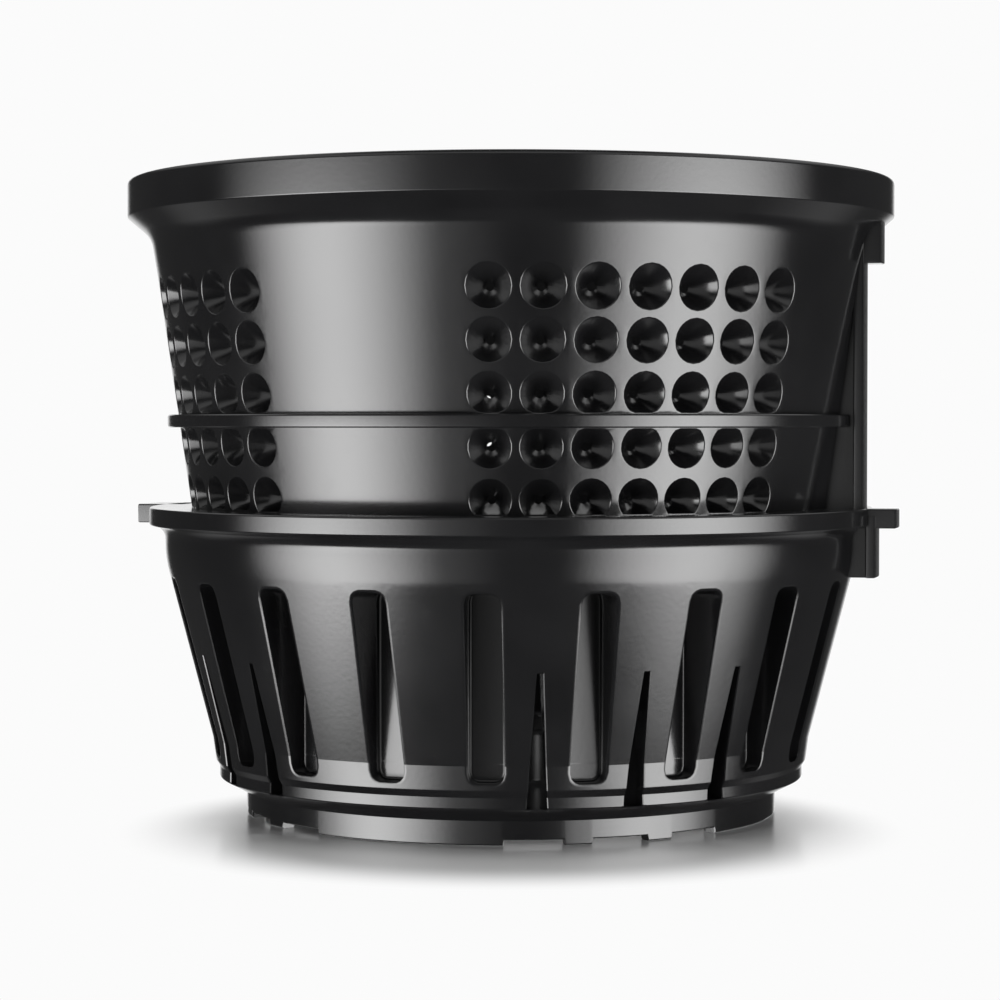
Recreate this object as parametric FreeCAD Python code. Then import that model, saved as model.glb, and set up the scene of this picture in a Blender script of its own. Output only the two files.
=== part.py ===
"""Juicer mesh screen: one moulded cup of hard black plastic.

The upper wall is a cone pierced by four panels of conical juice holes. A flange with two
lugs runs round the middle. The lower bowl has deep blind pockets, cored out of the ribs on
its inside, and wedge slits that open at floor level. It stands on a notched base ring.

Frame: millimetres, +Z up, origin at the centre of the base ring's underside, +X through the
key rail. Angles are in degrees from +X, counter-clockwise seen from above.
"""
import FreeCAD, Part
import math
import os

from FreeCAD import Vector

# Overall and rim
height = 98.5
rim_diameter = 120.0
rim_band_height = 5.6
rim_wall = 2.8
rim_slope = 45.0
flare_radius = 8.5

# Upper wall: its foot is at the flange's top face, this far inside the rim
wall_height = 45.0
rim_overhang = 9.8
wall_taper = 8.15
wall_thickness = 4.0

# Thin ring round the upper wall
ring_overhang = 6.1
ring_thickness = 2.0
ring_above_flange = 12.4

# Flange
flange_width = 6.6
flange_thickness = 2.8
flange_fillet = 2.2

# Lower bowl, from its kink up to the neck under the flange
neck_setback = 2.5
neck_height = 5.0
bowl_setback = 7.3

# Band, shoulder and strip below the kink
band_height = 3.6
band_setback = 0.5
shoulder_height = 1.0
strip_setback = 0.6
strip_height = 1.7

# Base ring and floor
base_setback = 4.2
base_height = 3.6
base_wall = 2.2
floor_thickness = 2.2
bowl_wall = 3.4

# Collar for the drive shaft
bore_diameter = 26.0
collar_wall = 4.0
collar_height = 8.0

# Pulp outlet, a curved slot through the floor between the collar and the base ring
outlet_off_collar = 6.0
outlet_off_base = 5.5
outlet_span = 60.0
outlet_angle = 180.0

# Juice holes
panel_count = 4
panel_angle = 35.3
columns_per_panel = 7
column_pitch = 8.1
row_count = 5
row_pitch = 7.5
lowest_row_above_flange = 2.2
hole_mouth = 6.5
hole_exit = 1.3
hole_sides = 12

# Pockets and the ribs that they core out
pocket_count = 20
pocket_width = 5.2
pocket_foot = 9.5
pocket_below_neck = 3.1
pocket_corner = 1.5
pocket_setback = 3.0
rib_back_wall = 2.2
rib_side_wall = 1.8
rib_top_wall = 2.0
rib_chamfer = 2.0

# Wedge slits, three to a quarter turn, and the drain notch under each
slit_angle = 37.0
slit_group_count = 4
slits_per_group = 3
slit_share_of_bowl = 0.482
slit_apex_width = 0.9
slit_foot_width = 3.0
notch_width = 9.0
notch_height = 0.8

# Key rail: a web with a strip along its edge
rail_inside_rim = 3.9
rail_strip_thickness = 1.6
rail_strip_width = 5.0
rail_web = 2.8
block_inside_rim = 1.3
block_height = 7.6
stub_past_flange = 1.2
stub_height = 7.8

# Lugs on the flange
lug_past_flange = 4.3
lug_width = 4.7
far_lug_width = 10.0
lug_thickness = 3.0

# Flats that make up a turned fillet, and a pocket's corner
fillet_flats = 3
corner_flats = 2

# How far a tool runs past the face it has to clear, and how deep a joined piece is rooted
overrun = 5.0
root = 1.0
clear_of_wall = 0.1

# Heights that follow from the above
rim_foot = height - rim_band_height
flange_top = rim_foot - wall_height
flange_underside = flange_top - flange_thickness
ring_foot = flange_top + ring_above_flange
ring_top = ring_foot + ring_thickness
floor_top = base_height + floor_thickness
strip_top = floor_top + strip_height
band_foot = strip_top + shoulder_height
band_top = band_foot + band_height
neck_foot = flange_underside - neck_height
pocket_top = neck_foot - pocket_below_neck
rib_top = pocket_top + rib_top_wall
slit_apex = band_top + slit_share_of_bowl * (neck_foot - band_top)

# Radii that follow from the rim's
rim_radius = rim_diameter / 2
wall_foot_radius = rim_radius - rim_overhang
ring_radius = rim_radius - ring_overhang
flange_radius = wall_foot_radius + flange_width
neck_radius = flange_radius - neck_setback
bowl_radius = neck_radius - bowl_setback
band_radius = bowl_radius - band_setback
strip_radius = band_radius - strip_setback
base_radius = strip_radius - base_setback
chamber_foot_radius = bowl_radius - bowl_wall
base_inner_radius = base_radius - base_wall
pocket_floor_radius = bowl_radius - pocket_setback
rib_radius = pocket_floor_radius - rib_back_wall
bore_radius = bore_diameter / 2
collar_radius = bore_radius + collar_wall
outlet_inner_radius = collar_radius + outlet_off_collar
outlet_outer_radius = base_inner_radius - outlet_off_base
rail_radius = rim_radius - rail_inside_rim
block_radius = rim_radius - block_inside_rim
stub_radius = flange_radius + stub_past_flange
lug_radius = flange_radius + lug_past_flange
UP = Vector(0, 0, 1)


def wall_radius(z):
    """Outer radius of the upper wall at height z."""
    return wall_foot_radius + outside_lean(z - flange_top)


def outside_lean(rise):
    """How much further out the upper wall stands after a rise."""
    return rise * math.tan(math.radians(wall_taper))


def chamber_radius(z):
    """Inner radius of the chamber's lower part, from the floor up to the flange."""
    top = wall_radius(flange_top) - wall_thickness
    foot = chamber_foot_radius
    return foot + (top - foot) * (z - floor_top) / (flange_top - floor_top)


def meet_wall(radius, z, offset):
    """Where a line falling inwards at the rim's slope from (radius, z) meets the wall's cone."""
    fall = math.tan(math.radians(rim_slope))
    lean = math.tan(math.radians(wall_taper))
    drop = (radius - wall_radius(z) + offset) / (1 / fall - lean)
    return radius - drop / fall, z - drop


def rounded_wire(corners, flats):
    """Closed wire in the XZ plane through (radius, z, fillet) corners.

    Each fillet is a few short flats on its arc, so that every cut across it is a plain curve.
    """
    count = len(corners)
    points = [Vector(r, 0, z) for r, z, fillet in corners]
    outline = []
    for i, (r, z, fillet) in enumerate(corners):
        corner = points[i]
        if fillet == 0:
            outline.append(corner)
            continue
        back = (points[i - 1] - corner).normalize()
        ahead = (points[(i + 1) % count] - corner).normalize()
        half = back.getAngle(ahead) / 2
        reach = fillet / math.tan(half)
        middle = (back + ahead).normalize() * (fillet / math.sin(half) - fillet)
        arc = Part.Arc(corner + back * reach, corner + middle, corner + ahead * reach)
        outline += arc.discretize(flats + 1)
    return Part.makePolygon(outline + outline[:1])


def turned(corners):
    """Solid of revolution round Z of a closed (radius, z, fillet) outline."""
    face = Part.Face(rounded_wire(corners, fillet_flats))
    return face.revolve(Vector(0, 0, 0), UP, 360)


def sharp(pairs):
    """The same outline with no fillets."""
    return [(r, z, 0) for r, z in pairs]


def at_angles(shape, angles):
    """Copies of a shape turned round Z."""
    copies = []
    for angle in angles:
        copy = shape.copy()
        copy.rotate(Vector(0, 0, 0), UP, angle)
        copies.append(copy)
    return copies


def disc(radius, foot, top):
    return Part.makeCylinder(radius, top - foot, Vector(0, 0, foot))


def radial_block(inner, outer, width, foot, top):
    """Box across +X, from one radius to another."""
    return Part.makeBox(outer - inner, width, top - foot, Vector(inner, -width / 2, foot))


def outer_corners():
    """Outside of the cup, from the base ring up to the rim."""
    flare_r, flare_z = meet_wall(rim_radius, rim_foot, 0)
    return [
        (base_radius, 0, 0),
        (base_radius, base_height, 0),
        (strip_radius, floor_top, 0),
        (strip_radius, strip_top, 0),
        (band_radius, band_foot, 0),
        (bowl_radius, band_top, 0),
        (neck_radius, neck_foot, 0),
        (neck_radius, flange_underside, flange_fillet),
        (flange_radius, flange_underside, 0),
        (flange_radius, flange_top, 0),
        (wall_foot_radius, flange_top, 0),
        (wall_radius(ring_foot), ring_foot, 0),
        (ring_radius, ring_foot, 0),
        (ring_radius, ring_top, 0),
        (wall_radius(ring_top), ring_top, 0),
        (flare_r, flare_z, flare_radius),
        (rim_radius, rim_foot, 0),
        (rim_radius, height, 0),
    ]


def chamber_corners():
    """Wall of the chamber, from the rim down to the floor."""
    mouth = rim_radius - rim_wall
    slope_top = rim_foot + rim_wall * math.tan(math.radians(rim_slope / 2))
    slope_r, slope_z = meet_wall(mouth, slope_top, wall_thickness)
    return [
        (mouth, height, 0),
        (mouth, slope_top, 0),
        (slope_r, slope_z, 0),
        (wall_radius(flange_top) - wall_thickness, flange_top, 0),
        (chamber_foot_radius, floor_top, 0),
    ]


def shell():
    """The turned cup: walls, floor, collar and base ring."""
    collar_top = floor_top + collar_height
    middle = sharp([
        (collar_radius, floor_top), (collar_radius, collar_top), (bore_radius, collar_top),
        (bore_radius, base_height), (base_inner_radius, base_height), (base_inner_radius, 0),
    ])
    return turned(outer_corners() + chamber_corners() + middle)


def many_sided_cone(tip_radius, end_radius, inner, outer, z):
    """Cone along +X with flat sides."""
    rings = []
    for x, radius in ((inner, tip_radius), (outer, end_radius)):
        turn = 2 * math.pi / hole_sides
        rings.append([
            Vector(x, radius * math.cos((i + 0.5) * turn), z + radius * math.sin((i + 0.5) * turn))
            for i in range(hole_sides)
        ])
    tip, end = rings
    outlines = [tip, end]
    outlines += [[tip[i - 1], tip[i], end[i], end[i - 1]] for i in range(hole_sides)]
    faces = [Part.Face(Part.makePolygon(outline + outline[:1])) for outline in outlines]
    return Part.Solid(Part.Shell(faces))


def juice_holes():
    """Conical holes, wide outside, that stop at the ring and at the flange."""
    half = (columns_per_panel - 1) / 2
    columns = [
        panel_angle + panel * 360 / panel_count + (column - half) * column_pitch
        for panel in range(panel_count)
        for column in range(columns_per_panel)
    ]
    lowest = flange_top + lowest_row_above_flange
    top_row_radius = wall_radius(lowest + (row_count - 1) * row_pitch)
    holes = []
    for row in range(row_count):
        z = lowest + row * row_pitch
        outside = wall_radius(z)
        mouth = hole_mouth / 2 * outside / top_row_radius
        flare = (mouth - hole_exit / 2) / wall_thickness
        inside = outside - wall_thickness
        tip = hole_exit / 4 / flare
        past = outside_lean(mouth) + clear_of_wall
        cone = many_sided_cone(
            hole_exit / 4, mouth + past * flare, inside - tip, outside + past, z)
        holes += at_angles(cone, columns)
    reach = rim_radius + overrun
    kept = disc(reach, ring_foot, ring_top).fuse(disc(reach, flange_underside, flange_top))
    return Part.makeCompound(holes).cut(kept).Solids


def pocket_angles():
    pitch = 360 / pocket_count
    return [slit_angle + (i + 0.5) * pitch for i in range(pocket_count)]


def slit_angles():
    pitch = 360 / pocket_count
    half = (slits_per_group - 1) / 2
    return [
        slit_angle + group * 360 / slit_group_count + (i - half) * pitch
        for group in range(slit_group_count)
        for i in range(slits_per_group)
    ]


def pockets():
    """Blind slots with parallel sides and an upright floor, deeper towards the top."""
    slot = rounded_wire([
        (-pocket_width / 2, pocket_foot, pocket_corner),
        (pocket_width / 2, pocket_foot, pocket_corner),
        (pocket_width / 2, pocket_top, pocket_corner),
        (-pocket_width / 2, pocket_top, pocket_corner),
    ], corner_flats)
    tool = Part.Face(slot).extrude(Vector(0, -flange_radius - overrun, 0))
    tool = tool.cut(disc(pocket_floor_radius, pocket_foot - overrun, pocket_top + overrun))
    tool.rotate(Vector(0, 0, 0), UP, 90)
    return at_angles(tool, pocket_angles())


def ribs():
    """Ribs inside the bowl that back the pockets."""
    width = pocket_width + 2 * rib_side_wall
    foot = floor_top - root
    zone = turned(sharp([
        (rib_radius, foot), (chamber_radius(foot) + root, foot),
        (chamber_radius(rib_top) + root, rib_top),
        (rib_radius + rib_chamfer, rib_top), (rib_radius, rib_top - rib_chamfer),
    ]))
    bar = radial_block(rib_radius - overrun, flange_radius, width, foot, rib_top)
    return zone.common(at_angles(bar, pocket_angles())).Solids


def wedge_slits():
    """Slits through the bowl's wall that widen down to the floor."""
    foot = slit_foot_width / 2
    apex = slit_apex_width / 2
    outline = [Vector(x, 0, z) for x, z in (
        (-foot, floor_top), (foot, floor_top), (apex, slit_apex), (-apex, slit_apex))]
    wedge = Part.Face(Part.makePolygon(outline + outline[:1]))
    inside = chamber_foot_radius - root
    wedge.translate(Vector(0, -inside, 0))
    tool = wedge.extrude(Vector(0, inside - flange_radius - overrun, 0))
    tool.rotate(Vector(0, 0, 0), UP, 90)
    return at_angles(tool, slit_angles())


def drain_notches():
    """Shallow notches in the base ring's lower edge, one under each slit."""
    notch = radial_block(base_inner_radius - overrun, base_radius + overrun, notch_width,
                         -overrun, notch_height)
    return at_angles(notch, slit_angles())


def pulp_outlet():
    """Curved slot with round ends through the floor."""
    middle = (outlet_inner_radius + outlet_outer_radius) / 2
    foot = base_height - overrun
    top = floor_top + root
    half_span = outlet_span / 2
    slot = disc(outlet_outer_radius, foot, top)
    slot = slot.cut(disc(outlet_inner_radius, foot, top))
    sector = Part.makeCylinder(
        base_inner_radius, top - foot, Vector(0, 0, foot), UP, outlet_span)
    sector.rotate(Vector(0, 0, 0), UP, -half_span)
    end_radius = outlet_outer_radius - middle
    end = Part.makeCylinder(end_radius, top - foot, Vector(middle, 0, foot))
    slot = slot.common(sector).fuse(at_angles(end, [-half_span, half_span]))
    slot.rotate(Vector(0, 0, 0), UP, outlet_angle)
    return slot


def t_rail(outer, foot, top):
    """T-section bar across +X, rooted in the bowl or wall behind it."""
    inner = outer - rail_strip_thickness
    web = radial_block(rib_radius, inner + rail_strip_thickness / 2, rail_web, foot, top)
    strip = radial_block(inner, outer, rail_strip_width, foot, top)
    return web.fuse(strip)


def key_rail():
    """Rail from the flange up to the rim, with a block at its top and a stub below the flange."""
    rail = t_rail(rail_radius, flange_top - root, rim_foot)
    block = radial_block(rail_radius - root, block_radius, lug_width,
                         rim_foot - block_height, rim_foot)
    stub = t_rail(stub_radius, flange_underside - stub_height, flange_top - root)
    chamber = turned(sharp([(r, z) for r, z, fillet in chamber_corners()]
                           + [(0, floor_top), (0, height)]))
    return rail.fuse([block, stub]).cut(chamber)


def flange_lugs():
    """A narrow lug at the key rail and a wide one opposite, flush with the flange's top face."""
    lugs = []
    for width, angle in ((lug_width, 0), (far_lug_width, 180)):
        lug = radial_block(neck_radius - root, lug_radius, width,
                           flange_top - lug_thickness, flange_top)
        lugs += at_angles(lug, [angle])
    return lugs


def screen_body():
    body = shell().fuse(ribs() + [key_rail()] + flange_lugs())
    body = body.cut(pockets() + wedge_slits() + drain_notches() + [pulp_outlet()])
    return body.cut(juice_holes())


os.makedirs("parts", exist_ok=True)
body = screen_body()
body.exportStep("parts/screen_body.step")
print("screen_body: solids", len(body.Solids), "valid", body.isValid(),
      "volume cm3", round(body.Volume / 1000, 1))
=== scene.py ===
import math

import bmesh
import bpy
from mathutils import Matrix, Vector


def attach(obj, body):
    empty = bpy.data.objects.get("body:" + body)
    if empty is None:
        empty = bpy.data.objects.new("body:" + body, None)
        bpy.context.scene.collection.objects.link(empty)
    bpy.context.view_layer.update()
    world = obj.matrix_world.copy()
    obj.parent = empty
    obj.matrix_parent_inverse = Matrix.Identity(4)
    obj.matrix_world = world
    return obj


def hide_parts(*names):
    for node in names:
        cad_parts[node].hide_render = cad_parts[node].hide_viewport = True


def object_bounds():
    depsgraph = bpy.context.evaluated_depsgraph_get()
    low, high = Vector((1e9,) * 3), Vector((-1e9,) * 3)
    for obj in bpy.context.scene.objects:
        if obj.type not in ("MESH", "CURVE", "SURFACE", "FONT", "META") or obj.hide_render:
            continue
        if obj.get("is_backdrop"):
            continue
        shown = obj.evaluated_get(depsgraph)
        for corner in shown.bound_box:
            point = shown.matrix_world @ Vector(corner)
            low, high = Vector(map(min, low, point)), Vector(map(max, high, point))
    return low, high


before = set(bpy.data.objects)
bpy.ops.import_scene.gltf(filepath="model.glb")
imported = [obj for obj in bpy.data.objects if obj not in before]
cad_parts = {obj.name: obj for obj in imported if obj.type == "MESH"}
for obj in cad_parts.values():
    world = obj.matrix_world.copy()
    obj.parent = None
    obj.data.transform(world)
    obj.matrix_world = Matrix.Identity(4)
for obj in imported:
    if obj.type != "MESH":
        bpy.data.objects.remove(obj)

cad_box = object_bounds()
MM = 0.001

# Rim, upper wall and ring. The part's lengths are in millimetres and its angles in degrees
RIM_RADIUS = 60.0
RIM_FOOT = 92.9
RIM_TOP = 98.5
RIM_EDGE = 0.7
MOUTH_RADIUS = 57.2
MOUTH_FOOT = 94.06
MOUTH_FILLET = 2.0
WALL_FOOT_RADIUS = 50.2
WALL_LEAN = math.tan(math.radians(8.15))
WALL_THICKNESS = 4.0
RING_RADIUS = 53.9
RING_FOOT = 60.3
RING_TOP = 62.3

# Where the wall bends out to the rim: radius, height and fillet
FLARE = (56.3, 89.75, 4.0)
INNER_FLARE = (52.08, 88.94, 3.0)

# Flange, bowl and chamber
FLANGE_RADIUS = 56.8
FLANGE_FOOT = 45.1
FLANGE_TOP = 47.9
FLANGE_FILLET = 2.1
NECK_RADIUS = 54.3
NECK_FOOT = 40.1
NECK_FILLET = 18.0
BOWL_FOOT = (47.0, 12.1)
BAND_FOOT = (46.5, 8.5)
BAND_FILLET = 0.6
STRIP_RADIUS = 45.9
STRIP_TOP = 7.5
STRIP_FILLET = 0.3
FLOOR_TOP = 5.8
FLOOR_FOOT = 3.6
BASE_RADIUS = 41.7
BASE_INNER_RADIUS = 39.5
CHAMBER_FOOT_RADIUS = 43.6
CHAMBER_TOP_RADIUS = 46.2

# Juice holes
PANEL_ANGLE = 35.3
PANELS = 4
COLUMNS = 7
COLUMN_PITCH = 8.1
ROWS = 5
LOWEST_ROW = 50.1
ROW_PITCH = 7.5
HOLE_MOUTH = 3.25
HOLE_EXIT = 0.65
HOLE_LIP = 0.14
HOLE_MARGIN = 0.05

# The wall's grid: quads along a hole's cell and between panels, and heights between the cells
CELL = 6
GAP_STEPS = 24
ROW_TOPS = [LOWEST_ROW + (row + 0.5) * ROW_PITCH for row in range(ROWS)]
LOW_CELLS = (FLANGE_TOP, ROW_TOPS[0], RING_FOOT)
HIGH_CELLS = (RING_TOP, *ROW_TOPS[2:])

# Pockets, the ribs behind them, and wedge slits
POCKETS = 20
POCKET_PITCH = 360 / POCKETS
BOWL_SEAM = 73.0
POCKET_HALF = 2.6
POCKET_FOOT = 9.5
POCKET_TOP = 37.0
POCKET_CORNER = 1.5
POCKET_LIP = 0.3
POCKET_FLOOR_RADIUS = 44.0
POCKET_FLOOR_EDGE = 0.5
RIB_RADIUS = 41.8
RIB_HALF = 4.4
RIB_FOOT = 5.0
RIB_TOP = 39.0
RIB_CHAMFER = 2.0
RIB_CORNER = 0.4
SLIT_GROUPS = 4
SLIT_ANGLE = 37.0
SLIT_TOP = 25.6
SLIT_TOP_HALF = 0.45
SLIT_FOOT_HALF = 1.5
SLIT_LIP = 0.14
SLIT_ANGLES = [
    SLIT_ANGLE + 360 / SLIT_GROUPS * group + POCKET_PITCH * i
    for group in range(SLIT_GROUPS) for i in (-1, 0, 1)]

# The bowl's grid: heights of its windows, and the angle from a seam to a pocket's window
POCKET_WINDOW = (8.9, 38.3)
RIB_WINDOW = (4.7, 39.6)
SLIT_WINDOW = (4.7, 27.2)
POCKET_SIDE = 4.8

# Quads along that angle, across a pocket, beside a seam, and above and below a slit's top
SIDE_STEPS = 4
POCKET_STEPS = 8
SEAM_STEPS = 2
HIGH_STEPS = 4
LOW_STEPS = 5

# Heights of other rows, the first from a pocket's ends, and the least room at a window's ends
CORNER_ROW = 0.6
SLIT_END_ROW = 24.9
LOW_BOWL_ROW = 13.5
FLOOR_ROW = 6.6
CHAMBER_ROWS = (43.0, 46.9)
SLOT_END_GAP = 0.15
SLIT_END_GAP = 0.2

# Floor, collar, pulp outlet and base ring
FLOOR_RADIUS = 43.9
FLOOR_UNDER_RADIUS = 41.5
BORE_RADIUS = 13.0
BORE_EDGE = 0.5
COLLAR_RADIUS = 17.0
COLLAR_TOP = 13.8
COLLAR_EDGE = 0.6
COLLAR_ROOT = 0.8
OUTLET_ANGLE = 180.0
OUTLET_RADIUS = 28.5
OUTLET_HALF = 5.5
OUTLET_SPAN = 30.0
OUTLET_WINDOW_HALF = 51.0
OUTLET_ROWS = (7.5, 4.0, 0.0, -4.0, -7.0)
NOTCH_HALF = 4.5
NOTCH_HEIGHT = 0.8
NOTCH_FLANK = 0.08
TURN_STEPS = 120

# Key rail, which ends inside the flare of the wall, its stub below the flange, and the lugs
RAIL_FOOT = FLANGE_TOP - 1.0
RAIL_TOP = 90.0
WEB_WIDTH = 2.8
WEB_SINK = 2.0
WEB_OUTER = 55.3
CAP_WIDTH = 5.0
CAP_INNER = 54.5
CAP_OUTER = 56.1
BLOCK_WIDTH = 4.7
BLOCK_FOOT = 85.3
BLOCK_INNER_FOOT = 55.1
BLOCK_INNER_TOP = 56.6
BLOCK_OUTER = 58.7
STUB_FOOT = 37.3
STUB_WEB_INNER = 51.0
STUB_WEB_OUTER = 57.2
STUB_CAP_INNER = 56.4
STUB_CAP_OUTER = 58.0
LUG_FOOT = 44.9
LUG_INNER = 53.3
LUG_OUTER = 61.1
LUG_WIDTH = 4.7
FAR_LUG_WIDTH = 10.0
BAR_EDGE = 0.25

# Soft edges: their width, the share of it at the middle of the bend, and a lip's outer loop
EDGE = 0.35
MID_BEND = 0.3
LIP_GUARD = 0.2

# Which edges stay sharp in the shading, and how near points are merged at a seam
SHARP_ANGLE = math.radians(30)
MERGE_DISTANCE = 0.002

# Camera and lamps, in metres, with the lens in millimetres
CAMERA_TURN = math.radians(14.3)
CAMERA_DISTANCE = 0.451
CAMERA_HEIGHT = 0.0609
CAMERA_LENS = 102.6
CLIP_START = 0.01
AIM_LEFT = 0.0017
AIM_HEIGHT = 0.0488
LAMP_DISTANCE = 0.9
LAMP_LEVEL = 0.06

# Floor, in metres: its half width, how far in front of the object's axis the patch that takes the
# shadow is centred, and between which distances from there it fades to plain white
FLOOR_HALF = 4.0
SHADOW_FORWARD = 0.022
SHADOW_FADE = (0.04, 0.06)

# Colours
PLASTIC_DARK = (0.006, 0.006, 0.0064, 1)
PLASTIC_LIGHT = (0.0082, 0.0082, 0.0087, 1)
FLOOR_COLOUR = (0.95, 0.95, 0.95, 1)
BACKGROUND_WHITE = (0.965, 0.965, 0.965, 1)
STUDIO_DARK = (0.03, 0.03, 0.03, 1)


def wall_radius(z):
    """Outside of the upper wall at a height."""
    return WALL_FOOT_RADIUS + (z - FLANGE_TOP) * WALL_LEAN


def inner_radius(z):
    """Inside of the upper wall at a height."""
    return wall_radius(z) - WALL_THICKNESS


def chamber_radius(z):
    """Inside of the bowl at a height."""
    share = (z - FLOOR_TOP) / (FLANGE_TOP - FLOOR_TOP)
    return CHAMBER_FOOT_RADIUS + (CHAMBER_TOP_RADIUS - CHAMBER_FOOT_RADIUS) * share


def spaced(low, high, steps):
    """Evenly spaced values after low, up to and with high."""
    return [low + (high - low) * k / steps for k in range(1, steps + 1)]


def clamped(value, low, high):
    return min(max(value, low), high)


def rounded(corners, steps=3):
    """Points of an open line of (radius, height, fillet) corners."""
    points = [Vector(corner[:2]) for corner in corners]
    line = [points[0]]
    for k in range(1, len(corners) - 1):
        corner = points[k]
        fillet = corners[k][2]
        if fillet == 0:
            line.append(corner)
            continue
        back = (points[k - 1] - corner).normalized()
        ahead = (points[k + 1] - corner).normalized()
        half = back.angle(ahead) / 2
        centre = corner + (back + ahead).normalized() * fillet / math.sin(half)
        start = corner + back * fillet / math.tan(half) - centre
        end = corner + ahead * fillet / math.tan(half) - centre
        for i in range(steps + 1):
            line.append(centre + start.lerp(end, i / steps).normalized() * fillet)
    line.append(points[-1])
    return [tuple(point) for point in line]


def radius_on(line, z):
    """Radius of a line of (radius, height) points at a height."""
    for (r0, z0), (r1, z1) in zip(line, line[1:]):
        if min(z0, z1) <= z <= max(z0, z1) and z0 != z1:
            return r0 + (r1 - r0) * (z - z0) / (z1 - z0)
    raise ValueError(z)


def beside(angle, offset, radius):
    """Angle of a point that lies a sideways distance from the plane at an angle."""
    return angle + math.degrees(math.asin(offset / radius))


class Wrap:
    """A grid of quads that is wrapped round the Z axis, with windows let into it.

    Columns are angles in degrees and rows are (radius, height) pairs. Until it is wrapped, each
    vertex lies at its column and row number, and `placed` holds where a window's loops go.
    """

    # Any width that is less than a quad's: the loops are placed afterwards
    INSET = 0.1

    def __init__(self, columns, rows):
        self.columns = columns
        self.rows = rows
        self.placed = {}
        self.bm = bmesh.new()
        across = len(columns) - 1
        up = len(rows) - 1
        bmesh.ops.create_grid(self.bm, x_segments=across, y_segments=up, size=1)
        to_numbers = Matrix.Diagonal((across / 2, up / 2, 1, 1)) @ Matrix.Translation((1, 1, 0))
        bmesh.ops.transform(self.bm, matrix=to_numbers, verts=self.bm.verts)
        self.cells = {}
        for face in self.bm.faces:
            middle = face.calc_center_median()
            self.cells[int(middle.x), int(middle.y)] = face

    def windows(self, panes, measure=1):
        """Joins the quads of each pane's span into one face. Panes don't touch each other.

        A vertex's mark is its angle and its row's height, or its radius for a measure of 0.
        """
        by_corner = {}
        faces = []
        for pane in panes:
            first, last, low, high = pane["span"]
            by_corner[first, low] = pane
            faces += [self.cells[i, j] for i in range(first, last) for j in range(low, high)]
        for face in bmesh.ops.dissolve_faces(self.bm, faces=faces, use_verts=False)["region"]:
            numbers = [(round(vert.co.x), round(vert.co.y)) for vert in face.verts]
            pane = by_corner[min(i for i, j in numbers), min(j for i, j in numbers)]
            ends = sorted(self.rows[j][measure] for j in pane["span"][2:])
            names = {ends[0]: "foot", ends[1]: "top"}
            pane["face"] = face
            pane["marks"] = [(self.columns[i], self.rows[j][measure]) for i, j in numbers]
            pane["edges"] = [names.get(height) for turn, height in pane["marks"]]

    def loop(self, panes, place):
        """One more loop of edges inside each window."""
        faces = [pane["face"] for pane in panes]
        bmesh.ops.inset_individual(self.bm, faces=faces, thickness=self.INSET)
        for pane in panes:
            for vert, mark, edge in zip(pane["face"].verts, pane["marks"], pane["edges"]):
                self.placed[vert] = place(pane, mark, edge)

    def clear(self, panes):
        """Opens each window."""
        faces = [pane["face"] for pane in panes]
        bmesh.ops.delete(self.bm, geom=faces, context="FACES_ONLY")

    def lattice(self, panes):
        """Splits each window's last face across, from side to side."""
        for pane in panes:
            sides = {}
            for vert, mark, edge in zip(pane["face"].verts, pane["marks"], pane["edges"]):
                if edge is None:
                    sides.setdefault(mark[1], []).append(vert)
            face = pane["face"]
            for z in sorted(sides):
                left, right = sides[z]
                if not (left in face.verts and right in face.verts):
                    continue
                half, seam = bmesh.utils.face_split(face, left, right)
                above = [pair for key, pair in sides.items() if key > z]
                if above and above[0][0] in half.verts:
                    face = half

    def wrap(self):
        """Puts each vertex in its place and closes the seam."""
        for vert in self.bm.verts:
            if vert in self.placed:
                turn, radius, z = self.placed[vert]
            else:
                turn = self.columns[round(vert.co.x)]
                radius, z = self.rows[round(vert.co.y)]
            turn = math.radians(turn)
            vert.co = (radius * math.cos(turn), radius * math.sin(turn), z)
        bmesh.ops.remove_doubles(self.bm, verts=self.bm.verts, dist=MERGE_DISTANCE)
        return self.bm


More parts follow.
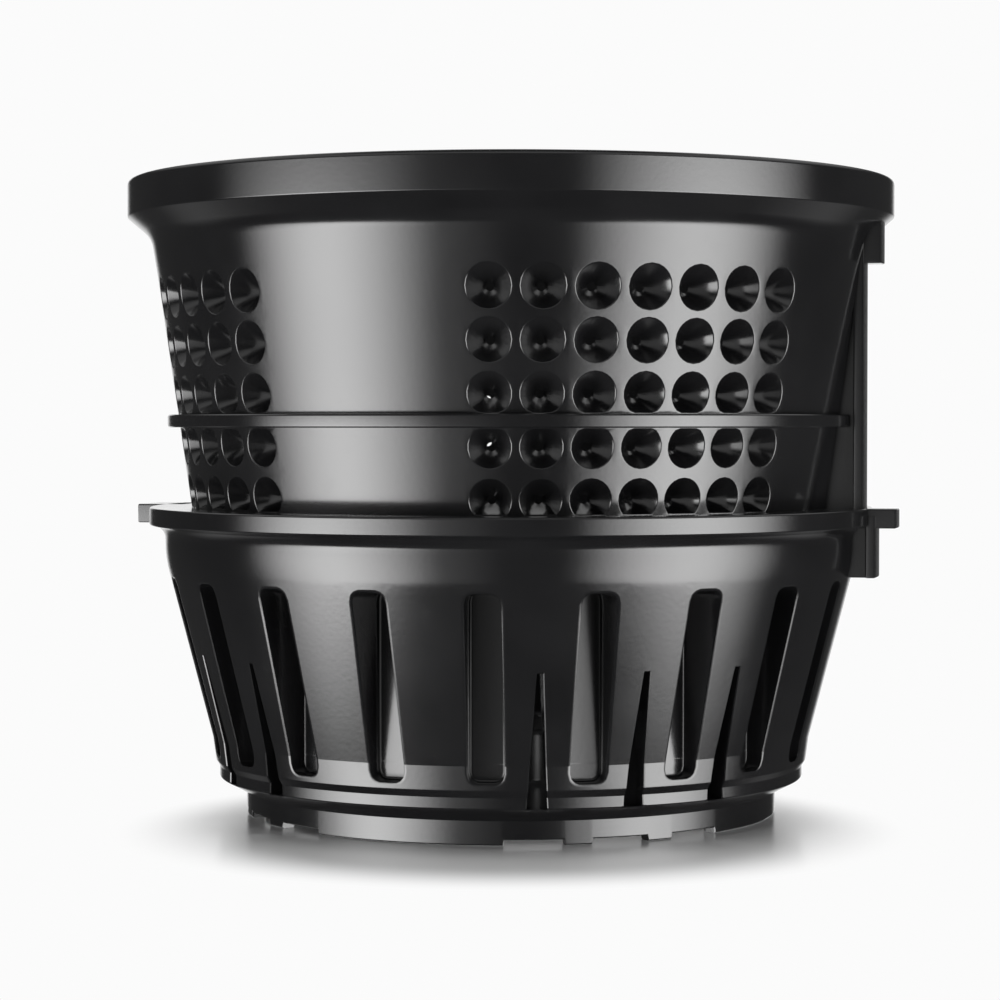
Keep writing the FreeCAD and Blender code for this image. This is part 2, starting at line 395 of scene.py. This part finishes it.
def upper_wall():
    """Pierced wall with its ring, rim, and the wall's inside."""
    columns = [PANEL_ANGLE - COLUMNS * COLUMN_PITCH / 2]
    for panel in range(PANELS):
        start = columns[-1]
        end = start + COLUMNS * COLUMN_PITCH
        columns += spaced(start, end, COLUMNS * CELL)
        columns += spaced(end, start + 360 / PANELS, GAP_STEPS)

    rows = [(WALL_FOOT_RADIUS, FLANGE_TOP)]
    outside = {}
    inside = {}

    def run(levels, radius_at, numbers):
        numbers[levels[0]] = len(rows) - 1
        for start, end in zip(levels, levels[1:]):
            rows.extend((radius_at(z), z) for z in spaced(start, end, CELL))
            numbers[end] = len(rows) - 1

    run(LOW_CELLS, wall_radius, outside)
    rows += rounded([
        (wall_radius(RING_FOOT), RING_FOOT, 0), (RING_RADIUS, RING_FOOT, EDGE),
        (RING_RADIUS, RING_TOP, EDGE), (wall_radius(RING_TOP), RING_TOP, 0)])[1:]
    run(HIGH_CELLS, wall_radius, outside)
    panel_top = HIGH_CELLS[-1]
    rows += rounded([
        (wall_radius(panel_top), panel_top, 0), FLARE, (RIM_RADIUS, RIM_FOOT, EDGE),
        (RIM_RADIUS, RIM_TOP, RIM_EDGE), (MOUTH_RADIUS, RIM_TOP, RIM_EDGE),
        (MOUTH_RADIUS, MOUTH_FOOT, MOUTH_FILLET), INNER_FLARE,
        (inner_radius(panel_top), panel_top, 0)], steps=5)[1:]
    run(HIGH_CELLS[::-1], inner_radius, inside)
    rows.append((inner_radius(RING_FOOT), RING_FOOT))
    run(LOW_CELLS[::-1], inner_radius, inside)

    sheet = Wrap(columns, rows)
    outer_panes = []
    inner_panes = []
    cells = [pair for levels in (LOW_CELLS, HIGH_CELLS) for pair in zip(levels, levels[1:])]
    top_radius = wall_radius(LOWEST_ROW + (ROWS - 1) * ROW_PITCH)
    for number, (foot, top) in enumerate(cells):
        z = LOWEST_ROW + number * ROW_PITCH
        for panel in range(PANELS):
            for column in range(COLUMNS):
                first = panel * (COLUMNS * CELL + GAP_STEPS) + column * CELL
                last = first + CELL
                hole = {
                    "angle": columns[first + CELL // 2], "z": z, "odd": (number + column) % 2,
                    "foot": foot + HOLE_MARGIN, "top": top - HOLE_MARGIN,
                    "mouth": HOLE_MOUTH * wall_radius(z) / top_radius}
                outer_panes.append(dict(hole, span=(first, last, outside[foot], outside[top])))
                inner_panes.append(dict(hole, span=(first, last, inside[top], inside[foot])))
    for panes in (outer_panes, inner_panes):
        for odd in (0, 1):
            sheet.windows([pane for pane in panes if pane["odd"] == odd])

    def ring(radius_of, depth, rise):
        def place(pane, mark, edge):
            across = math.radians(mark[0] - pane["angle"]) * wall_radius(pane["z"])
            angle = math.atan2(mark[1] - pane["z"], across)
            reach = radius_of(pane)
            z = pane["z"] + reach * math.sin(angle)
            z = clamped(z, pane["foot"] + rise, pane["top"] - rise)
            radius = wall_radius(z) - depth
            return beside(pane["angle"], reach * math.cos(angle), radius), radius, z
        return place

    def cone(depth):
        share = depth / WALL_THICKNESS
        return lambda pane: pane["mouth"] + (HOLE_EXIT - pane["mouth"]) * share

    soft = HOLE_LIP * MID_BEND
    sheet.loop(outer_panes, ring(lambda pane: pane["mouth"] + HOLE_LIP, 0, 0))
    sheet.loop(outer_panes, ring(lambda pane: pane["mouth"] + soft, soft, HOLE_LIP - soft))
    for depth in (HOLE_LIP, WALL_THICKNESS / 2, WALL_THICKNESS):
        sheet.loop(outer_panes, ring(cone(depth), depth, HOLE_LIP))
    sheet.loop(inner_panes, ring(lambda pane: HOLE_EXIT + soft, WALL_THICKNESS, 0))
    sheet.loop(inner_panes, ring(cone(WALL_THICKNESS), WALL_THICKNESS, HOLE_LIP))
    sheet.clear(outer_panes + inner_panes)
    return sheet.wrap()


def slot(mark, edge, angle, half, window_half, foot, top, corner, grow):
    """Point of a slot's outline, as a sideways distance and a height."""
    across = (mark[0] - angle) / window_half * half
    beside_ends = clamped(mark[1], foot + SLOT_END_GAP, top - SLOT_END_GAP)
    z = {"foot": foot, "top": top}.get(edge, beside_ends)
    middle = Vector((
        clamped(across, corner - half, half - corner), clamped(z, foot + corner, top - corner)))
    away = Vector((across, z)) - middle
    if away.length > 0 and corner > 0:
        away = away.normalized() * (corner + grow)
    return middle + away


def lower_bowl():
    """Flange, bowl with pockets and slits, and the chamber's ribbed wall."""
    past_pocket = POCKET_PITCH - POCKET_SIDE
    offsets = spaced(0, POCKET_SIDE, SIDE_STEPS)
    offsets += spaced(POCKET_SIDE, past_pocket, POCKET_STEPS)
    offsets += spaced(past_pocket, POCKET_PITCH, SIDE_STEPS)
    width = len(offsets)
    seams = [BOWL_SEAM + POCKET_PITCH * pocket for pocket in range(POCKETS)]
    columns = [BOWL_SEAM] + [seam + offset for seam in seams for offset in offsets]

    outline = rounded([
        (FLANGE_RADIUS - EDGE, FLANGE_TOP, 0), (FLANGE_RADIUS, FLANGE_TOP, EDGE),
        (FLANGE_RADIUS, FLANGE_FOOT, EDGE), (NECK_RADIUS, FLANGE_FOOT, FLANGE_FILLET),
        (NECK_RADIUS, NECK_FOOT, NECK_FILLET), (*BOWL_FOOT, BAND_FILLET),
        (*BAND_FOOT, BAND_FILLET), (STRIP_RADIUS, STRIP_TOP, STRIP_FILLET),
        (STRIP_RADIUS, FLOOR_TOP, EDGE), (BASE_RADIUS, FLOOR_FOOT, 0)], steps=5)
    outline = [point for i, point in enumerate(outline) if i == 0 or point != outline[i - 1]]
    pocket_low, pocket_high = POCKET_WINDOW
    rib_low, rib_high = RIB_WINDOW
    slit_low, slit_high = SLIT_WINDOW
    levels = [pocket_high, POCKET_TOP - CORNER_ROW, POCKET_TOP - POCKET_CORNER]
    levels += spaced(levels[-1], slit_high, HIGH_STEPS)
    levels += [SLIT_END_ROW] + spaced(SLIT_END_ROW, LOW_BOWL_ROW, LOW_STEPS)
    levels += [POCKET_FOOT + POCKET_CORNER, POCKET_FOOT + CORNER_ROW, pocket_low]
    levels += [FLOOR_ROW, slit_low]
    rows = outline + [(radius_on(outline, z), z) for z in levels]
    rows.sort(key=lambda point: (-point[1], -point[0]))
    outer_row = {z: j for j, (radius, z) in enumerate(rows) if z in levels}
    heights = [z for radius, z in rows if slit_low <= z <= pocket_high]
    heights = heights[::-1] + [rib_high, *CHAMBER_ROWS]
    inner_row = {z: len(rows) + k for k, z in enumerate(heights)}
    rows += [(chamber_radius(z), z) for z in heights]

    sheet = Wrap(columns, rows)
    pockets = []
    ribs = []
    outer_slits = []
    inner_slits = []
    for pocket, seam in enumerate(seams):
        angle = seam + POCKET_PITCH / 2
        first = pocket * width
        across = (first + SIDE_STEPS, first + width - SIDE_STEPS)
        span = (*across, outer_row[pocket_high], outer_row[pocket_low])
        pockets.append({"angle": angle, "span": span})
        across = (first + SEAM_STEPS, first + width - SEAM_STEPS)
        span = (*across, inner_row[rib_low], inner_row[rib_high])
        ribs.append({"angle": angle, "span": span})
        if any(abs((seam - slit) % 360) < 1 for slit in SLIT_ANGLES):
            across = (first - SEAM_STEPS, first + SEAM_STEPS)
            span = (*across, outer_row[slit_high], outer_row[slit_low])
            outer_slits.append({"angle": seam, "span": span})
            span = (*across, inner_row[slit_low], inner_row[slit_high])
            inner_slits.append({"angle": seam, "span": span})
    for panes in (pockets, ribs, outer_slits, inner_slits):
        sheet.windows(panes)
    pocket_window_half = POCKET_PITCH / 2 - POCKET_SIDE
    slit_window_half = SEAM_STEPS * POCKET_SIDE / SIDE_STEPS
    rib_window_half = POCKET_PITCH / 2 - slit_window_half

    def surface(z):
        return radius_on(outline, z)

    def pocket_loop(grow, radius_at):
        def place(pane, mark, edge):
            across, z = slot(mark, edge, pane["angle"], POCKET_HALF, pocket_window_half,
                             POCKET_FOOT, POCKET_TOP, POCKET_CORNER, grow)
            radius = radius_at(z)
            return beside(pane["angle"], across, radius), radius, z
        return place

    soft = POCKET_LIP * MID_BEND
    sheet.loop(pockets, pocket_loop(POCKET_LIP + LIP_GUARD, surface))
    sheet.loop(pockets, pocket_loop(POCKET_LIP, surface))
    sheet.loop(pockets, pocket_loop(soft, lambda z: surface(z) - soft))
    sheet.loop(pockets, pocket_loop(0, lambda z: surface(z) - POCKET_LIP))
    bend = POCKET_FLOOR_EDGE * MID_BEND
    for shrink, rise in ((0, POCKET_FLOOR_EDGE), (bend, bend), (POCKET_FLOOR_EDGE, 0)):
        floor_radius = POCKET_FLOOR_RADIUS + rise
        sheet.loop(pockets, pocket_loop(-shrink, lambda z: floor_radius))
    sheet.lattice(pockets)

    def rib_loop(grow, radius_at, top):
        def place(pane, mark, edge):
            across, z = slot(mark, edge, pane["angle"], RIB_HALF, rib_window_half,
                             RIB_FOOT, top, RIB_CORNER, grow)
            radius = radius_at(z)
            return beside(pane["angle"], across, radius), radius, z
        return place

    def rib_edge(z):
        return RIB_RADIUS + max(EDGE, RIB_CHAMFER - RIB_TOP + z)

    sheet.loop(ribs, rib_loop(EDGE, chamber_radius, RIB_TOP))
    sheet.loop(ribs, rib_loop(0, lambda z: chamber_radius(z) - EDGE, RIB_TOP))
    sheet.loop(ribs, rib_loop(0, rib_edge, RIB_TOP))
    sheet.loop(ribs, rib_loop(-EDGE, lambda z: RIB_RADIUS, RIB_TOP - RIB_CHAMFER))
    sheet.lattice(ribs)

    def slit_loop(grow, radius_at):
        def place(pane, mark, edge):
            beside_ends = clamped(mark[1], FLOOR_TOP + SLIT_END_GAP, SLIT_TOP - SLIT_END_GAP)
            z = {"foot": FLOOR_TOP - grow, "top": SLIT_TOP + grow}.get(edge, beside_ends)
            share = (z - FLOOR_TOP) / (SLIT_TOP - FLOOR_TOP)
            half = SLIT_FOOT_HALF + (SLIT_TOP_HALF - SLIT_FOOT_HALF) * share + grow
            across = (mark[0] - pane["angle"]) / slit_window_half * half
            radius = radius_at(z)
            return beside(pane["angle"], across, radius), radius, z
        return place

    sheet.loop(outer_slits, slit_loop(SLIT_LIP + LIP_GUARD, surface))
    sheet.loop(outer_slits, slit_loop(SLIT_LIP, surface))
    sheet.loop(outer_slits, slit_loop(0, lambda z: surface(z) - SLIT_LIP))
    sheet.loop(outer_slits, slit_loop(0, chamber_radius))
    sheet.loop(inner_slits, slit_loop(SLIT_LIP, chamber_radius))
    sheet.loop(inner_slits, slit_loop(0, chamber_radius))
    sheet.clear(outer_slits + inner_slits)
    return sheet.wrap()


def floor_plate():
    """Floor with its collar, drive bore and pulp outlet."""
    columns = [0.0] + spaced(0, 360, TURN_STEPS)
    across_outlet = [OUTLET_RADIUS + step for step in OUTLET_ROWS]
    inmost = across_outlet[-1]
    rows = [(FLOOR_RADIUS, FLOOR_TOP)] + [(radius, FLOOR_TOP) for radius in across_outlet]
    rows += rounded([
        (inmost, FLOOR_TOP, 0), (COLLAR_RADIUS, FLOOR_TOP, COLLAR_ROOT),
        (COLLAR_RADIUS, COLLAR_TOP, COLLAR_EDGE), (BORE_RADIUS, COLLAR_TOP, COLLAR_EDGE),
        (BORE_RADIUS, FLOOR_FOOT, BORE_EDGE), (inmost, FLOOR_FOOT, 0)])[1:]
    under = len(rows) - 1
    rows += [(radius, FLOOR_FOOT) for radius in across_outlet[-2::-1]]
    rows += [(FLOOR_UNDER_RADIUS, FLOOR_FOOT), (FLOOR_RADIUS, FLOOR_TOP)]
    sheet = Wrap(columns, rows)
    first = round((OUTLET_ANGLE - OUTLET_WINDOW_HALF) / 360 * TURN_STEPS)
    last = round((OUTLET_ANGLE + OUTLET_WINDOW_HALF) / 360 * TURN_STEPS)
    height = len(OUTLET_ROWS) - 1
    upper = [{"span": (first, last, 1, 1 + height)}]
    lower = [{"span": (first, last, under, under + height)}]
    sheet.windows(upper, 0)
    sheet.windows(lower, 0)
    half = math.radians(OUTLET_SPAN) * OUTLET_RADIUS + OUTLET_HALF

    def outlet(grow, z):
        def place(pane, mark, edge):
            across, out = slot(
                (mark[0], mark[1] - OUTLET_RADIUS), edge, OUTLET_ANGLE, half, OUTLET_WINDOW_HALF,
                -OUTLET_HALF, OUTLET_HALF, OUTLET_HALF, grow)
            return OUTLET_ANGLE + math.degrees(across / OUTLET_RADIUS), OUTLET_RADIUS + out, z
        return place

    soft = EDGE * MID_BEND
    sheet.loop(upper, outlet(EDGE, FLOOR_TOP))
    sheet.loop(upper, outlet(soft, FLOOR_TOP - soft))
    sheet.loop(upper, outlet(0, FLOOR_TOP - EDGE))
    sheet.loop(upper, outlet(0, FLOOR_FOOT + EDGE))
    sheet.loop(lower, outlet(EDGE, FLOOR_FOOT))
    sheet.loop(lower, outlet(0, FLOOR_FOOT + EDGE))
    sheet.clear(upper + lower)
    return sheet.wrap()


def base_ring():
    """Ring that the cup stands on, with a drain notch under each slit."""
    notch = math.degrees(math.asin(NOTCH_HALF / BASE_RADIUS))
    sides = [(slit + side * (notch + step)) % 360 for slit in SLIT_ANGLES
             for side in (-1, 1) for step in (-NOTCH_FLANK, NOTCH_FLANK)]
    columns = sorted([0.0] + spaced(0, 360, TURN_STEPS) + sides)
    rows = rounded([
        (BASE_RADIUS, FLOOR_FOOT + EDGE, 0), (BASE_RADIUS, 0, EDGE), (BASE_INNER_RADIUS, 0, EDGE),
        (BASE_INNER_RADIUS, FLOOR_FOOT + EDGE, 0)])
    rows.append(rows[0])
    sheet = Wrap(columns, rows)
    for vert in sheet.bm.verts:
        turn = columns[round(vert.co.x)]
        radius, z = rows[round(vert.co.y)]
        away = min(abs((turn - slit + 180) % 360 - 180) for slit in SLIT_ANGLES)
        if away < notch and z < FLOOR_FOOT:
            sheet.placed[vert] = (turn, radius, z + NOTCH_HEIGHT)
    return sheet.wrap()


def bar(bm, angle, inner_foot, inner_top, outer, width, foot, top):
    """Radial bar with soft edges. Its inner face may lean with the wall."""
    made = bmesh.ops.create_cube(bm, size=1)["verts"]
    for vert in made:
        upper = vert.co.z > 0
        inner = inner_top if upper else inner_foot
        radius = outer if vert.co.x > 0 else inner
        vert.co = (radius, vert.co.y * width, top if upper else foot)
    bmesh.ops.rotate(bm, verts=made, matrix=Matrix.Rotation(math.radians(angle), 3, "Z"))
    edges = {edge for vert in made for edge in vert.link_edges}
    bmesh.ops.bevel(
        bm, geom=list(edges), offset=BAR_EDGE, segments=2, profile=0.5, affect="EDGES", material=-1)


def rails_and_lugs():
    """T-shaped key rail with its top block and the stub below the flange, and the two lugs."""
    bm = bmesh.new()
    web_foot = wall_radius(RAIL_FOOT) - WEB_SINK
    web_top = wall_radius(RAIL_TOP) - WEB_SINK
    bar(bm, 0, web_foot, web_top, WEB_OUTER, WEB_WIDTH, RAIL_FOOT, RAIL_TOP)
    bar(bm, 0, CAP_INNER, CAP_INNER, CAP_OUTER, CAP_WIDTH, RAIL_FOOT, RAIL_TOP)
    bar(bm, 0, BLOCK_INNER_FOOT, BLOCK_INNER_TOP, BLOCK_OUTER, BLOCK_WIDTH, BLOCK_FOOT, RIM_FOOT)
    bar(bm, 0, STUB_WEB_INNER, STUB_WEB_INNER, STUB_WEB_OUTER, WEB_WIDTH, STUB_FOOT, RAIL_FOOT)
    bar(bm, 0, STUB_CAP_INNER, STUB_CAP_INNER, STUB_CAP_OUTER, CAP_WIDTH, STUB_FOOT, RAIL_FOOT)
    for angle, width in ((0, LUG_WIDTH), (180, FAR_LUG_WIDTH)):
        bar(bm, angle, LUG_INNER, LUG_INNER, LUG_OUTER, width, LUG_FOOT, FLANGE_TOP)
    return bm


def join(bm, other):
    """Copies one mesh into another and frees it."""
    mesh = bpy.data.meshes.new("part")
    other.to_mesh(mesh)
    other.free()
    bm.from_mesh(mesh)
    bpy.data.meshes.remove(mesh)


def bridge(bm, inside):
    """Joins the wall's and the bowl's open loops, on the flange or inside the chamber."""
    middle = WALL_FOOT_RADIUS - WALL_THICKNESS / 2
    edges = [edge for edge in bm.edges
             if edge.is_boundary and (edge.verts[0].co.xy.length < middle) == inside]
    bmesh.ops.bridge_loops(bm, edges=edges)


def finished(name, bm, material):
    """Object at the origin from a bmesh, which is freed."""
    mesh = bpy.data.meshes.new(name)
    bm.to_mesh(mesh)
    bm.free()
    mesh.materials.append(material)
    made = bpy.data.objects.new(name, mesh)
    bpy.context.collection.objects.link(made)
    return made


def moulded_screen():
    """The whole cup, with soft shading up to its sharp edges."""
    bm = upper_wall()
    join(bm, lower_bowl())
    bridge(bm, False)
    bridge(bm, True)
    for part in (floor_plate(), base_ring(), rails_and_lugs()):
        join(bm, part)
    bmesh.ops.recalc_face_normals(bm, faces=bm.faces)
    bmesh.ops.scale(bm, vec=(MM, MM, MM), verts=bm.verts)
    for face in bm.faces:
        face.smooth = True
    for edge in bm.edges:
        edge.smooth = edge.calc_face_angle(0) < SHARP_ANGLE
    made = finished("screen", bm, black_plastic())
    weighted = made.modifiers.new("weighted", "WEIGHTED_NORMAL")
    weighted.keep_sharp = True
    weighted.weight = 100
    return made


class Socket:
    """An output of a shader node, with arithmetic."""

    def __init__(self, graph, output):
        self.graph = graph
        self.output = output

    def __add__(self, other):
        return self.graph.node("ShaderNodeMath", [self, other], operation="ADD")

    def __mul__(self, other):
        return self.graph.node("ShaderNodeMath", [self, other], operation="MULTIPLY")

    __radd__ = __add__
    __rmul__ = __mul__

    def ramp(self, low, high, start=0.0, end=1.0):
        """Eases from start to end as the value goes from low to high."""
        return self.graph.node(
            "ShaderNodeMapRange", [self, low, high, start, end], interpolation_type="SMOOTHSTEP")


class Graph:
    """Builds the nodes of one material, lamp or world."""

    def __init__(self, owner):
        owner.use_nodes = True
        self.tree = owner.node_tree
        self.tree.nodes.clear()

    def node(self, kind, inputs=(), output=0, **settings):
        """Makes any node. Inputs are a list, or a dict by socket name or number."""
        made = self.tree.nodes.new(kind)
        for name, value in settings.items():
            setattr(made, name, value)
        pairs = inputs.items() if isinstance(inputs, dict) else enumerate(inputs)
        for key, value in pairs:
            if isinstance(value, Socket):
                self.tree.links.new(value.output, made.inputs[key])
            else:
                made.inputs[key].default_value = value
        return Socket(self, made.outputs[output]) if made.outputs else None

    def mixed(self, share, first, second):
        """Colour between two colours. The numbers are the Mix node's sockets for colours."""
        inputs = {0: share, 6: first, 7: second}
        return self.node("ShaderNodeMix", inputs, output=2, data_type="RGBA")


def black_plastic():
    """Glossy black moulded plastic with a faint grain, uneven gloss and light rub marks."""
    material = bpy.data.materials.new("black_plastic")
    graph = Graph(material)
    place = graph.node("ShaderNodeTexCoord", output="Object")
    grain = graph.node("ShaderNodeTexNoise", {"Vector": place, "Scale": 1400.0, "Detail": 3.0})
    cloud = graph.node("ShaderNodeTexNoise", {"Vector": place, "Scale": 55.0, "Detail": 4.0})
    rub = graph.node("ShaderNodeTexNoise", {"Vector": place, "Scale": 320.0, "Detail": 6.0})
    worn = rub.ramp(0.62, 0.74)
    roughness = cloud.ramp(0.3, 0.7, 0.17, 0.22) + worn * 0.05
    colour = graph.mixed(cloud.ramp(0.35, 0.65), PLASTIC_DARK, PLASTIC_LIGHT)
    bump = graph.node("ShaderNodeBump", {"Strength": 0.05, "Distance": 0.0002, "Height": grain})
    shader = graph.node("ShaderNodeBsdfPrincipled", {
        "Base Color": colour, "Roughness": roughness, "IOR": 1.55, "Normal": bump,
        "Coat Weight": 0.8, "Coat Roughness": 0.13, "Coat IOR": 1.5})
    graph.node("ShaderNodeOutputMaterial", [shader])
    return material


def floor_white(towards_camera):
    """White floor that takes a shadow and a faint reflection where the object stands.

    Further out it fades into the background.
    """
    material = bpy.data.materials.new("floor_white")
    graph = Graph(material)
    centre = towards_camera * SHADOW_FORWARD
    place = graph.node("ShaderNodeTexCoord", output="Object")
    place = graph.node("ShaderNodeVectorMath", [place, centre], operation="SUBTRACT")
    away = graph.node("ShaderNodeVectorMath", [place], operation="LENGTH", output="Value")
    lit = graph.node("ShaderNodeBsdfPrincipled", {
        "Base Color": FLOOR_COLOUR, "Roughness": 0.2, "IOR": 1.5})
    plain = graph.node("ShaderNodeEmission", {"Color": BACKGROUND_WHITE, "Strength": 1.0})
    shader = graph.node("ShaderNodeMixShader", [away.ramp(*SHADOW_FADE), lit, plain])
    graph.node("ShaderNodeOutputMaterial", [shader])
    return material


def studio_world(forward):
    """White to the camera, and dark elsewhere.

    Reflections also see white behind the object, a pale ring of sky above and a faint glow behind
    and below.
    """
    world = bpy.data.worlds.new("studio")
    bpy.context.scene.world = world
    graph = Graph(world)
    direction = graph.node("ShaderNodeTexCoord", output="Generated")
    behind = graph.node(
        "ShaderNodeVectorMath", [direction, forward], operation="DOT_PRODUCT", output="Value")
    up = graph.node("ShaderNodeSeparateXYZ", [direction], output="Z")
    backdrop = behind.ramp(0.93, 0.98)
    sky_ring = up.ramp(0.3, 0.7) * up.ramp(0.95, 0.8) * 0.5
    low_glow = behind.ramp(0.3, 0.75) * up.ramp(-0.35, -0.6) * 0.2
    seen = graph.node("ShaderNodeLightPath", output="Is Camera Ray")
    glossy = graph.node("ShaderNodeLightPath", output="Is Glossy Ray")
    mirrored = glossy * (backdrop + sky_ring + low_glow)
    amount = graph.node("ShaderNodeMath", [seen, mirrored], operation="MAXIMUM")
    colour = graph.mixed(amount, STUDIO_DARK, BACKGROUND_WHITE)
    shader = graph.node("ShaderNodeBackground", {"Color": colour, "Strength": 1.0})
    graph.node("ShaderNodeOutputWorld", [shader])


def facing(centre, aim):
    """Rotation that points a camera or lamp from one point to another."""
    return (Vector(aim) - Vector(centre)).to_track_quat("-Z", "Y").to_euler()


def soft_box(name, centre, aim, width, height, radiance):
    """Rectangular lamp of a given brightness that faces a point."""
    lamp = bpy.data.lights.new(name, "AREA")
    lamp.shape = "RECTANGLE"
    lamp.size = width
    lamp.size_y = height
    lamp.energy = radiance * math.pi * width * height
    placed = bpy.data.objects.new(name, lamp)
    bpy.context.collection.objects.link(placed)
    placed.location = centre
    placed.rotation_euler = facing(centre, aim)
    return placed


def overhead(height, width, radiance):
    """Light from straight above that casts the shadow and adds no highlights."""
    placed = soft_box("overhead", (0, 0, height), (0, 0, 0), width, width, radiance)
    placed.visible_glossy = False


def side_box(name, turn, reach, heights, radiance):
    """Lamp to one side of the camera that fades out towards its edges.

    Its light is full in the middle of its width, and between the second and third of its four
    heights. All are angles in degrees, seen from the object.
    """
    low, full_from, full_to, high = [
        LAMP_LEVEL + LAMP_DISTANCE * math.tan(math.radians(height)) for height in heights]
    azimuth = CAMERA_TURN - math.pi / 2 + math.radians(turn)
    out = Vector((math.cos(azimuth), math.sin(azimuth), 0)) * LAMP_DISTANCE
    centre = out + Vector((0, 0, (low + high) / 2))
    width = 2 * LAMP_DISTANCE * math.tan(math.radians(reach))
    placed = soft_box(name, centre, (0, 0, centre.z), width, high - low, radiance)
    graph = Graph(placed.data)
    place = graph.node("ShaderNodeNewGeometry", output="Parametric")
    across = graph.node("ShaderNodeSeparateXYZ", [place], output="X")
    up = graph.node("ShaderNodeSeparateXYZ", [place], output="Y")
    fade = across.ramp(0, 0.5) * across.ramp(1, 0.5)
    fade = fade * up.ramp(0, (full_from - low) / (high - low))
    fade = fade * up.ramp(1, (full_to - low) / (high - low))
    glow = graph.node("ShaderNodeEmission", {"Color": fade, "Strength": 1.0})
    graph.node("ShaderNodeOutputLight", [glow])


screen = moulded_screen()
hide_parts("screen_body")
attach(screen, "root")

# Camera: level with the ring, aimed at half the object's height
right = Vector((math.cos(CAMERA_TURN), math.sin(CAMERA_TURN), 0))
back = Vector((math.sin(CAMERA_TURN), -math.cos(CAMERA_TURN), 0))
camera = bpy.data.objects.new("camera", bpy.data.cameras.new("camera"))
bpy.context.collection.objects.link(camera)
bpy.context.scene.camera = camera
camera.location = back * CAMERA_DISTANCE + Vector((0, 0, CAMERA_HEIGHT))
camera.rotation_euler = facing(camera.location, Vector((0, 0, AIM_HEIGHT)) - right * AIM_LEFT)
camera.data.lens = CAMERA_LENS
camera.data.clip_start = CLIP_START

ground = bmesh.new()
bmesh.ops.create_grid(ground, x_segments=1, y_segments=1, size=FLOOR_HALF)
floor = finished("floor", ground, floor_white(back))
floor.visible_glossy = False
floor.visible_shadow = False
floor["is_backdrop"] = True

# Lamps: a box on each side of the camera, a faint one between them on the left, and one overhead
side_box("left", turn=-57, reach=36.5, heights=(-33.2, -26, -6, 15), radiance=6.4)
side_box("fill", turn=-24, reach=24, heights=(-33, -24, -6, 15), radiance=0.4)
side_box("right", turn=57, reach=40, heights=(-34, -23, 2, 19), radiance=5.8)
overhead(height=1.2, width=0.8, radiance=7.0)
studio_world(-back)
bpy.context.scene.view_settings.view_transform = "Standard"

boxes = {"cad": cad_box, "visual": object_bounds()}
{name: [list(corner) for corner in box] for name, box in boxes.items()}
